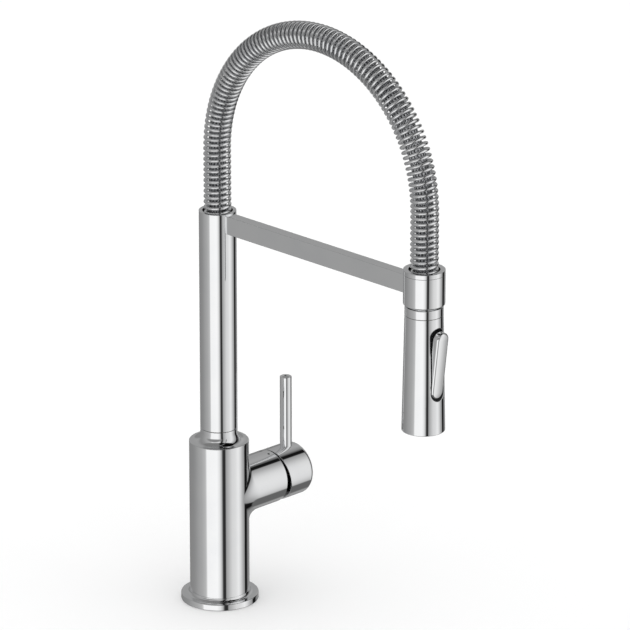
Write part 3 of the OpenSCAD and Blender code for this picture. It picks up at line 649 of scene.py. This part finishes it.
buildHandle()
print("stage: handle built")

column = {"radius": 14.9, "bore": 12.05, "bottom": 147.0, "top": 329.8, "edge": 0.35}
lathe(
    "columnTube",
    "spout",
    "chrome",
    [
        (column["bore"], column["bottom"], 0.1),
        (column["radius"], column["bottom"], column["edge"]),
        (column["radius"], column["top"], column["edge"]),
        (column["bore"], column["top"], 0.3),
    ],
    chrome,
    ["column_tube"],
    segments=192,
)

arm = {"width": 9.7, "height": 14.9, "bottom": 313.8, "edge": 0.55, "from": 13.4, "to": 214.6}


def buildArm():
    side, low, high, edge = arm["width"] / 2, arm["bottom"], arm["bottom"] + arm["height"], arm["edge"]
    corners = [(-side, low, edge), (side, low, edge), (side, high, edge), (-side, high, edge)]
    outline = roundedProfile(corners, 4)
    loops = []
    for y in (arm["from"], arm["from"] + 0.5, 60, 114, 170, arm["to"] - 0.5, arm["to"]):
        loops.append([(x, -y, z) for x, z in outline])
    addPiece("supportArm", "spout", "chrome", *lofted(loops), chrome, ["support_arm"])


buildArm()

ring = {"outer": 16.25, "inner": 13.42, "bottom": 308.1, "seam": 332.6, "top": 336.3, "capBore": 12.25}
lathe(
    "dockingRing",
    "spout",
    "chrome",
    [
        (ring["inner"], ring["bottom"], 0.3),
        (ring["outer"], ring["bottom"], 1.2),
        (ring["outer"], ring["seam"], 0.14),
        (ring["inner"], ring["seam"], 0.1),
    ],
    chrome,
    ["docking_ring"],
    head=True,
    segments=192,
)
lathe(
    "ringCap",
    "spout",
    "chrome",
    [
        (ring["capBore"], ring["seam"] + 0.14, 0.1),
        (ring["outer"], ring["seam"] + 0.14, 0.14),
        (ring["outer"], ring["top"], 0.35),
        (ring["capBore"], ring["top"], 0.3),
    ],
    chrome,
    ["ring_cap"],
    head=True,
    segments=192,
)
print("stage: column, arm and ring built")

head = {
    "topRadius": 15.0,
    "endRadius": 16.9,
    "wall": 1.6,
    "openingWide": 14.2,
    "openingTall": 59.3,
    "openingZ": 262.35,
    "surroundFloor": 7.955,
    "toggleFace": 18.755,
    "toggleThick": 6.0,
    "toggleLean": 7.0,
    "toggleWide": 12.4,
    "toggleTall": 56.0,
    "toggleEdge": 2.0,
    "toggleCrown": 35.0,
    "setback": 1.6,
    "bossRadius": 2.3,
    "bossHalf": 5.2,
    "pegRadius": 1.1,
    "pegUp": 13.0,
    "pegSpan": (-3.6, 2.6),
}


def headRadius(z):
    along = (main["shellTop"] - z) / (main["shellTop"] - main["shellBottom"])
    return head["topRadius"] + (head["endRadius"] - head["topRadius"]) * along


lathe(
    "headCollar",
    "spray_head",
    "chrome",
    [
        (10.6, main["headSeam"], 0.1),
        (head["topRadius"], main["headSeam"], 0.15),
        (head["topRadius"], main["headTop"], 0.6),
        (12.3, main["headTop"], 0.15),
        (12.0, 313.6, 0.3),
        (10.6, 313.6, 0.2),
    ],
    chrome,
    ["head_collar"],
    head=True,
    segments=192,
)


def buildHeadShell():
    # a thin tapered tube with a slot in its front; both skins share one layout, so the slot's wall joins
    # them
    count = 192
    half = 0.95
    outline = stadiumLoop(head["openingWide"], head["openingTall"], 48, 48)
    low, high = head["openingZ"] - 33, head["openingZ"] + 33
    window = rectangleLoop(half, low, high, count)
    # the outline starts at the right of the upper end; the window starts at its top right corner
    back = [half + (2 * math.pi - 2 * half) * k / 120 for k in range(121)]
    quarter = count // 4
    turns = sorted({round(p[0], 9) for p in window[: quarter + 1]})
    levels = sorted({round(p[1], 9) for p in window[quarter : 2 * quarter + 1]})
    allTurns = turns + back[1:]
    vertices, faces = [], []

    def place(r, turn, z):
        # a turn of 0 faces forwards, and grows to the right seen from the front
        return (r * math.sin(turn), -r * math.cos(turn) - main["reach"], z)

    loopsAt = []
    for sunk in (0.0, head["wall"]):
        base = len(vertices)
        contact = []
        for x, up in outline:
            z = head["openingZ"] + up
            r = headRadius(z) - sunk
            contact.append((math.asin(x / r), z))
        for i in range(13):
            t = i / 12
            for (turnA, zA), (turnB, zB) in zip(contact, window):
                turn, z = turnA + (turnB - turnA) * t, zA + (zB - zA) * t
                vertices.append(place(headRadius(z) - sunk, turn, z))
        faces.extend(ringFaces([base + i * count for i in range(13)], count, False))
        loopsAt.append(base)

        def grid(turnList, zList):
            start = len(vertices)
            for z in zList:
                vertices.extend(place(headRadius(z) - sunk, turn, z) for turn in turnList)
            wide = len(turnList)
            for i in range(len(zList) - 1):
                for k in range(wide - 1):
                    a = start + i * wide + k
                    faces.append([a, a + 1, a + wide + 1, a + wide])

        grid(back, levels)
        grid(allTurns, [high, main["shellTop"] - 0.4, main["shellTop"] - 0.2])
        lowEnd = main["shellBottom"]
        grid(allTurns, [lowEnd + 0.4, lowEnd + 0.5, (lowEnd + low) / 2, low])
    for k in range(count):
        n = (k + 1) % count
        faces.append([loopsAt[0] + k, loopsAt[0] + n, loopsAt[1] + n, loopsAt[1] + k])
    ringTurns = allTurns[:-1]
    wide = len(ringTurns)
    top, bottom, wall = main["shellTop"], main["shellBottom"], head["wall"]
    rims = (
        [(0.0, top - 0.2), (0.05, top - 0.08), (0.2, top), (wall - 0.2, top), (wall, top - 0.2)],
        [(0.0, bottom + 0.4), (0.08, bottom + 0.15), (0.25, bottom + 0.02)]
        + [(0.45, bottom), (wall - 0.3, bottom), (wall, bottom + 0.4)],
    )
    for rim in rims:
        start = len(vertices)
        for sunk, z in rim:
            vertices.extend(place(headRadius(z) - sunk, turn, z) for turn in ringTurns)
        faces.extend(ringFaces([start + i * wide for i in range(len(rim))], wide, False))
    addPiece("headShell", "spray_head", "chrome", vertices, faces, chrome, ["head_shell"])


def frontLoop(outline, depth):
    # an outline set upright in front of the head's axis, at one depth or at what depth(x, z) gives
    middle = head["openingZ"]
    loop = []
    for x, up in outline:
        y = depth(x, middle + up) if callable(depth) else depth
        loop.append((x, -y - main["reach"], middle + up))
    return loop


def buildToggle():
    wide, tall = head["openingWide"] - 0.1, head["openingTall"] - 0.1
    floor = head["surroundFloor"]

    def skin(x, z):
        return math.sqrt(max(headRadius(z) ** 2 - x * x, 0)) - 0.03

    outside = stadiumLoop(wide, tall)
    lip = stadiumLoop(wide - 0.24, tall - 0.24)
    lipInner = stadiumLoop(wide - 0.8, tall - 0.8)
    inside = stadiumLoop(wide - 1.0, tall - 1.0)
    loops = [
        frontLoop(outside, floor - 1.2),
        frontLoop(outside, lambda x, z: skin(x, z) - 0.3),
        frontLoop(outside, lambda x, z: skin(x, z) - 0.15),
        frontLoop(lip, skin),
        frontLoop(lipInner, skin),
        frontLoop(inside, lambda x, z: skin(x, z) - 0.15),
        frontLoop(inside, lambda x, z: skin(x, z) - 0.3),
        frontLoop(inside, floor + 0.3),
        frontLoop(stadiumLoop(wide - 1.6, tall - 1.6), floor),
    ]
    count = len(outside)
    turns = [2 * math.pi * (k + 0.5) / count for k in range(count)]
    for radius, depth in ((3.3, floor), (3.1, floor - 0.2), (3.1, floor - 1.2)):
        hole = [(radius * math.cos(a), head["pegUp"] + radius * math.sin(a)) for a in turns]
        loops.append(frontLoop(hole, depth))
    loops.append(loops[0])
    recess = lofted(loops, cap=False)
    addPiece("toggleSurround", "spray_head", "dark_plastic", *recess, darkPlastic, ["toggle_surround"])

    axle = head["toggleFace"] - head["toggleThick"] - head["setback"]
    lean = math.radians(head["toggleLean"])
    # how far in from the outline each row lies and how far forward: back edge, side, rounded edge, crown
    half, thick = head["toggleWide"] / 2, head["toggleThick"]
    edge, crown = head["toggleEdge"], head["toggleCrown"]
    level = thick - crown + math.sqrt((crown - edge) ** 2 - (half - edge) ** 2)
    slope = math.asin((half - edge) / (crown - edge))
    rows = [(0.9, 0.0), (0.3, 0.12), (0.06, 0.5), (0.0, 0.8), (0.0, level - 0.1)]
    for k in range(13):
        a = (math.pi / 2 - slope) * k / 12
        rows.append((edge - edge * math.cos(a), level + edge * math.sin(a)))
    for k in range(1, 8):
        a = slope * (1 - k / 8)
        rows.append((half - crown * math.sin(a), thick - crown + crown * math.cos(a)))
    loops = []
    for inset, forward in rows:
        outline = stadiumLoop(head["toggleWide"] - 2 * inset, head["toggleTall"] - 2 * inset, 32, 24)
        loops.append([(x, head["setback"] + forward, up) for x, up in outline])
    paddle = lofted(loops)
    circle = [(math.cos(2 * math.pi * k / 48), math.sin(2 * math.pi * k / 48)) for k in range(48)]
    boss, peg, side = head["bossRadius"], head["pegRadius"], head["bossHalf"]
    bossLoops = [[(x, boss * c, boss * s) for c, s in circle] for x in (-side, side)]
    pegLoops = [[(peg * c, depth, head["pegUp"] + peg * s) for c, s in circle] for depth in head["pegSpan"]]
    vertices, faces = merged(paddle, lofted(bossLoops), lofted(pegLoops))
    placed = []
    for x, out, up in vertices:
        outward = axle + out * math.cos(lean) + up * math.sin(lean)
        height = head["openingZ"] - out * math.sin(lean) + up * math.cos(lean)
        placed.append((x, -outward - main["reach"], height))
    addPiece("sprayToggle", "toggle", "chrome", placed, faces, chrome, ["spray_toggle"])


buildHeadShell()
buildToggle()
print("stage: spray head built")

hosePath = {
    "spring": {
        "radius": 9.75,
        "wire": 1.32,
        "pitch": 4.4,
        "start": 305.4,
        "stop": 320.6,
        "pointsPerTurn": 22,
        "sides": 12,
    },
    "hose": {"radius": 6.75, "start": 306.4, "stop": 317.0, "braidPitch": 7.0},
    # y and z between which the spring opens up when the head is pulled, straight down through the ring
    "pullFrom": (-172.12, 409.42),
    "pullTo": (-227.7, 322.0),
}


def pathPoints(start, stop, step=1.2):
    # up the column's leg, over the arch and down to the head
    radius = main["reach"] / 2
    points = []
    leg = int((main["archZ"] - start) / step)
    points += [(0.0, start + (main["archZ"] - start) * k / leg) for k in range(leg)]
    around = int(math.pi * radius / step)
    for k in range(around + 1):
        a = math.pi * k / around
        points.append((-radius + radius * math.cos(a), main["archZ"] + radius * math.sin(a)))
    leg = int((main["archZ"] - stop) / step)
    points += [(-main["reach"], main["archZ"] - (main["archZ"] - stop) * (k + 1) / leg) for k in range(leg)]
    return points


def pathLength(start, stop):
    return main["archZ"] * 2 - start - stop + math.pi * main["reach"] / 2


def buildSpring():
    # a wire wound round the path: the path is resampled, each point is moved out by the coil's radius and
    # the wire is swept
    sizes = hosePath["spring"]
    points = pathPoints(sizes["start"], sizes["stop"])
    curve = bpy.data.curves.new("springPath", "CURVE")
    curve.dimensions = "3D"
    spline = curve.splines.new("POLY")
    spline.points.add(len(points) - 1)
    for point, (y, z) in zip(spline.points, points):
        point.co = (0, y * millimetre, z * millimetre, 1)
    path = bpy.data.objects.new("springPath", curve)
    bpy.context.scene.collection.objects.link(path)

    tree = bpy.data.node_groups.new("windSpring", "GeometryNodeTree")
    face = tree.interface
    face.new_socket("Path", in_out="INPUT", socket_type="NodeSocketGeometry")
    names = {}
    for label, kind in (
        ("Turns", "NodeSocketFloat"),
        ("Coil Radius", "NodeSocketFloat"),
        ("Wire Radius", "NodeSocketFloat"),
        ("Points", "NodeSocketInt"),
        ("Wire Sides", "NodeSocketInt"),
        ("Finish", "NodeSocketMaterial"),
    ):
        names[label] = face.new_socket(label, in_out="INPUT", socket_type=kind).identifier
    face.new_socket("Wire", in_out="OUTPUT", socket_type="NodeSocketGeometry")
    maker = Maker(tree)
    source = maker.node("NodeGroupInput").outputs
    resample = maker.node("GeometryNodeResampleCurve", {"Curve": source["Path"], "Count": source["Points"]})
    along = maker.value(maker.node("GeometryNodeSplineParameter"), "Factor")
    tangent = maker.node("GeometryNodeInputTangent")
    angle = along * Value(maker, source["Turns"]) * (2 * math.pi)

    def vectors(operation, inputs):
        return maker.node("ShaderNodeVectorMath", inputs, operation=operation).outputs[0]

    outward = vectors("CROSS_PRODUCT", {0: tangent.outputs[0], 1: (1, 0, 0)})
    first = vectors("SCALE", {0: outward, "Scale": angle.math("COSINE")})
    second = vectors("SCALE", {0: (-1, 0, 0), "Scale": angle.math("SINE")})
    offset = vectors("SCALE", {0: vectors("ADD", {0: first, 1: second}), "Scale": source["Coil Radius"]})
    moved = maker.node("GeometryNodeSetPosition", {"Geometry": resample.outputs[0], "Offset": offset})
    circle = maker.node(
        "GeometryNodeCurvePrimitiveCircle",
        {"Resolution": source["Wire Sides"], "Radius": source["Wire Radius"]},
    )
    sweep = maker.node(
        "GeometryNodeCurveToMesh",
        {"Curve": moved.outputs[0], "Profile Curve": circle.outputs["Curve"], "Fill Caps": True},
    )
    smooth = maker.node("GeometryNodeSetShadeSmooth", {0: sweep.outputs[0]})
    real = maker.node("GeometryNodeRealizeInstances", {0: smooth.outputs[0]})
    paint = maker.node("GeometryNodeSetMaterial", {"Geometry": real.outputs[0], "Material": source["Finish"]})
    maker.node("NodeGroupOutput", {0: paint.outputs[0]})

    modifier = path.modifiers.new("wind", "NODES")
    modifier.node_group = tree
    turns = pathLength(sizes["start"], sizes["stop"]) / sizes["pitch"]
    modifier[names["Turns"]] = float(turns)
    modifier[names["Coil Radius"]] = sizes["radius"] * millimetre
    modifier[names["Wire Radius"]] = sizes["wire"] * millimetre
    modifier[names["Points"]] = int(turns * sizes["pointsPerTurn"])
    modifier[names["Wire Sides"]] = sizes["sides"]
    modifier[names["Finish"]] = wireChrome
    bpy.context.view_layer.update()
    evaluated = path.evaluated_get(bpy.context.evaluated_depsgraph_get())
    mesh = bpy.data.meshes.new_from_object(evaluated)
    mesh.name = "springWire"
    path.modifiers.remove(modifier)
    bpy.data.objects.remove(path)
    faceOutwards(mesh)
    if not mesh.materials:
        mesh.materials.append(wireChrome)
    piece = bpy.data.objects.new("springWire", mesh)
    bpy.context.scene.collection.objects.link(piece)
    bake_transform(piece)
    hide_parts("spring")


def buildHose():
    sizes = hosePath["hose"]
    points = pathPoints(sizes["start"], sizes["stop"], 1.6)
    around = 64
    vertices, travelled, run = [], [], 0.0
    for i, (y, z) in enumerate(points):
        ahead = points[min(i + 1, len(points) - 1)]
        behind = points[max(i - 1, 0)]
        tangent = Vector((0, ahead[0] - behind[0], ahead[1] - behind[1])).normalized()
        outward = tangent.cross(Vector((1, 0, 0)))
        if i:
            run += math.dist(points[i], points[i - 1])
        travelled.append(run)
        for k in range(around):
            a = 2 * math.pi * k / around
            aside = math.cos(a) * outward + math.sin(a) * Vector((1, 0, 0))
            place = Vector((0, y, z)) + sizes["radius"] * aside
            vertices.append(tuple(place * millimetre))
    faces = []
    for i in range(len(points) - 1):
        for k in range(around):
            n = (k + 1) % around
            faces.append([i * around + k, i * around + n, (i + 1) * around + n, (i + 1) * around + k])
    faces.append(list(range(around))[::-1])
    faces.append(list(range((len(points) - 1) * around, len(points) * around)))
    mesh = bpy.data.meshes.new("innerHose")
    mesh.from_pydata(vertices, [], faces)
    layer = mesh.uv_layers.new(name="alongAndRound")
    for polygon in mesh.polygons:
        polygon.use_smooth = len(polygon.vertices) == 4
        columns = [mesh.loops[i].vertex_index % around for i in polygon.loop_indices]
        wraps = max(columns) - min(columns) > around / 2
        for i in polygon.loop_indices:
            index = mesh.loops[i].vertex_index
            column = index % around
            if wraps and column == 0:
                column = around
            layer.data[i].uv = (travelled[index // around] / sizes["braidPitch"], column / around)
    faceOutwards(mesh)
    mesh.materials.append(braid)
    piece = bpy.data.objects.new("innerHose", mesh)
    bpy.context.scene.collection.objects.link(piece)
    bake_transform(piece)
    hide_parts("inner_hose")


buildSpring()
buildHose()
print("stage: hose and spring built")


def buildFloor():
    size = 6.0
    mesh = bpy.data.meshes.new("floor")
    corners = [(-size, -size, 0), (size, -size, 0), (size, size, 0), (-size, size, 0)]
    mesh.from_pydata(corners, [], [[0, 1, 2, 3]])
    floor = bpy.data.objects.new("floor", mesh)
    floor.location.z = -0.0002
    material, maker, shader = newMaterial("floorPaint")
    mottle = noise(maker, 3.0, 3.0)
    colour = maker.mix(mottle, (0.93, 0.93, 0.93), (0.95, 0.95, 0.95))
    maker.fill(shader, {"Base Color": colour, "Roughness": 0.8})
    mesh.materials.append(material)
    bpy.context.scene.collection.objects.link(floor)
    floor.visible_glossy = False


def buildWorld():
    # white to the eye. What polished metal sees is a studio: a bright wall to one side, grey walls and
    # narrow dark gaps
    studio = {
        "white": 1.12,
        "headroom": 1.2,
        # ways a patch of the studio lies, as x and y
        "brightSide": (-0.951, -0.309),
        "farSide": (0.703, 0.711),
        "darkSide": (0.711, -0.703),
        # heading in degrees, brightness: the wall all the way round, at each change
        "wall": [
            (0, 0.1), (8, 0.24), (26, 0.3), (45, 0.22), (105, 0.26), (120, 0.29),
            (143, 0.37), (154, 0.4), (170, 0.5), (174, 0.62), (178, 0.96), (218, 1.0),
            (228, 0.82), (235, 0.5), (240, 0.04), (249, 0.02), (253, 0.36), (265, 0.53),
            (277, 0.7), (291, 0.76), (305, 0.88), (315, 0.74), (323, 0.56), (329, 0.44),
            (339, 0.32), (342, 0.01), (355, 0.005), (360, 0.1),
        ],
    }
    world = bpy.data.worlds.new("studio")
    bpy.context.scene.world = world
    world.use_nodes = True
    world.node_tree.nodes.clear()
    maker = Maker(world.node_tree)
    direction = maker.node("ShaderNodeTexCoord").outputs["Generated"]
    parts = maker.node("ShaderNodeSeparateXYZ", {"Vector": direction})
    x, y, z = (maker.value(parts, i) for i in range(3))
    heading = (y.math("ARCTAN2", x) / (2 * math.pi) + 1.0).math("FRACT")
    headroom = studio["headroom"]
    stops = [(degrees / 360, bright / headroom) for degrees, bright in studio["wall"]]
    ramp = maker.node("ShaderNodeValToRGB", {"Fac": heading}, stops=stops)
    wall = maker.value(maker.node("ShaderNodeRGBToBW", {"Color": ramp.outputs["Color"]})) * headroom

    def toward(way):
        return x * studio[way][0] + y * studio[way][1]

    # the bright wall ends low, the far side is lighter above, and the ceiling is black to the dark side
    upper = z.smooth(0.08, 0.26)
    bright = toward("brightSide").smooth(0.55, 0.8)
    behind = toward("farSide").smooth(0.45, 0.8)
    overhead = z.smooth(0.765, 0.83)
    ceiling = toward("darkSide").smooth(-0.05, 0.1, 0.2, 0.002)
    below = z.smooth(-0.66, -0.6, 1.0, 0.0)
    ground = y.smooth(0.05, 0.22, 0.13, 0.34)
    seen = wall * (1 - upper * bright) + upper * bright * 0.24 + upper * behind * 0.11
    seen = seen * (1 - overhead) + overhead * ceiling
    seen = seen * (1 - below) + below * ground
    reflection = maker.value(maker.node("ShaderNodeLightPath"), "Is Glossy Ray")
    strength = seen * reflection + (1 - reflection) * studio["white"]
    background = maker.node("ShaderNodeBackground", {"Color": (1, 1, 1, 1), "Strength": strength})
    maker.node("ShaderNodeOutputWorld", {"Surface": background.outputs[0]})


def buildCamera():
    view = {
        "lens": 316.7,
        "place": (-2.8635, -3.0035, 1.7162),
        "forward": (0.6627, 0.6698, -0.3349),
    }
    data = bpy.data.cameras.new("camera")
    data.lens = view["lens"]
    data.sensor_width = 36
    camera = bpy.data.objects.new("camera", data)
    camera.location = view["place"]
    camera.rotation_euler = Vector(view["forward"]).to_track_quat("-Z", "Y").to_euler()
    bpy.context.scene.collection.objects.link(camera)
    bpy.context.scene.camera = camera


buildFloor()
buildWorld()
buildCamera()
bpy.context.scene.view_settings.view_transform = "Standard"
print("stage: studio built")
